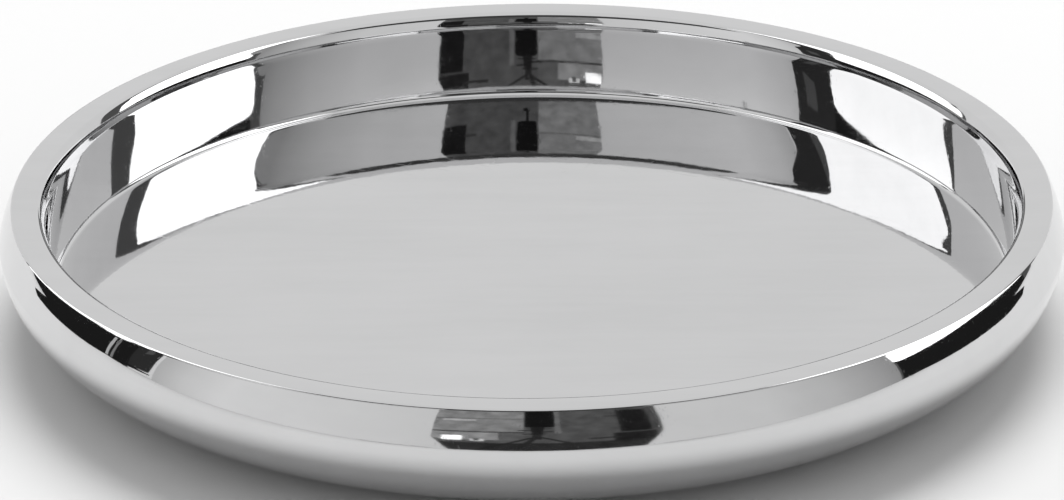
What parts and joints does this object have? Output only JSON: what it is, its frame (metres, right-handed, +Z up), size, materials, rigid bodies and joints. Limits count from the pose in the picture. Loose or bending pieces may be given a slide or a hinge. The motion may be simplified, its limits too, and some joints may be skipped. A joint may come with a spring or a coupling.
{
  "type": "round serving tray",
  "caption": "Round double-walled serving tray with a deep mirror-polished well, flat rim and bulged outer wall, standing on low pads.",
  "frame": {"origin": "on the tray's axis, on the surface its feet stand on", "axes": "+Z up along the tray's axis of revolution; +X and +Y run midway between neighbouring feet"},
  "size_m": [0.4, 0.4, 0.05],
  "materials": {
    "polished_steel": "mirror polished stainless steel with faint wiping marks",
    "satin_steel": "satin, turned in fine concentric lines",
    "damping_pad": "dull bitumen-rubber sheet",
    "silicone": "matt translucent-grey silicone"
  },
  "bodies": {
    "root": {"inner_pan": "polished_steel", "outer_shell": "polished_steel", "base_plate": "satin_steel", "damping_disc": "damping_pad", "vent_plug": "silicone", "foot_1": "silicone", "foot_2": "silicone", "foot_3": "silicone", "foot_4": "silicone"}
  },
  "joints": []
}
